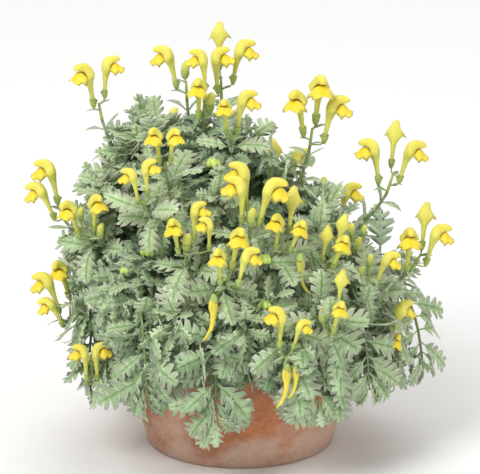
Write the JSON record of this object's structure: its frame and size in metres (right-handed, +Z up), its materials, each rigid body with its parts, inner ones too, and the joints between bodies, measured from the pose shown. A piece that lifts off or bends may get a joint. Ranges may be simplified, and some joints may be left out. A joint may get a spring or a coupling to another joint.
{
  "type": "potted flowering plant",
  "caption": "Bushy yellow skullcap in a shallow round clay pan: square stems, lobed grey-green leaves and clusters of upright two-lipped flowers on a dense mound.",
  "frame": {"origin": "centre of the pan's flat underside, on the surface it stands on", "axes": "+Z up, -Y towards the viewer of the picture, +X to the viewer's right"},
  "size_m": [0.232, 0.2361, 0.2317],
  "materials": {
    "clay": "unglazed terracotta, matte",
    "soil": "crumbly potting soil, matte",
    "foliage": "soft grey-green leaves and stems",
    "petals": "soft yellow petals"
  },
  "bodies": {
    "root": {"clay_pan": "clay", "soil": "soil", "leafy_stem_01": "foliage", "leafy_stem_02": "foliage", "leafy_stem_03": "foliage", "leafy_stem_04": "foliage", "leafy_stem_05": "foliage", "leafy_stem_06": "foliage", "leafy_stem_07": "foliage", "leafy_stem_08": "foliage", "leafy_stem_09": "foliage", "leafy_stem_10": "foliage", "leafy_stem_11": "foliage", "leafy_stem_12": "foliage", "leafy_stem_13": "foliage", "leafy_stem_14": "foliage", "leafy_stem_15": "foliage", "leafy_stem_16": "foliage", "leafy_stem_17": "foliage", "leafy_stem_18": "foliage", "leafy_stem_19": "foliage", "leafy_stem_20": "foliage", "leafy_stem_21": "foliage", "leafy_stem_22": "foliage", "leafy_stem_23": "foliage", "leafy_stem_24": "foliage", "leafy_stem_25": "foliage", "leafy_stem_26": "foliage", "leafy_stem_27": "foliage", "leafy_stem_28": "foliage", "flowers_left_top": "petals", "flowers_top_left": "petals", "flowers_top_middle": "petals", "flowers_top_crown": "petals", "flowers_top_right": "petals", "flowers_upper_left": "petals", "flowers_tall_right": "petals", "flowers_far_right": "petals", "flowers_far_left": "petals", "flowers_left_shoulder": "petals", "flowers_left_front": "petals", "flowers_centre_left": "petals", "flowers_centre": "petals", "flowers_centre_low": "petals", "flowers_centre_right": "petals", "flowers_right_front": "petals", "flowers_bud_head": "petals", "flowers_right_low": "petals", "flowers_right_shoulder": "petals", "flowers_right_inner": "petals", "flowers_right_skirt": "petals", "flowers_left_skirt": "petals", "flowers_left_low": "petals", "flowers_front_low": "petals", "flowers_back_left": "petals", "flowers_back_middle": "petals", "flowers_back_right": "petals", "flowers_back_far_right": "petals", "flowers_back_low_left": "petals", "flowers_back_low_right": "petals"}
  },
  "joints": []
}
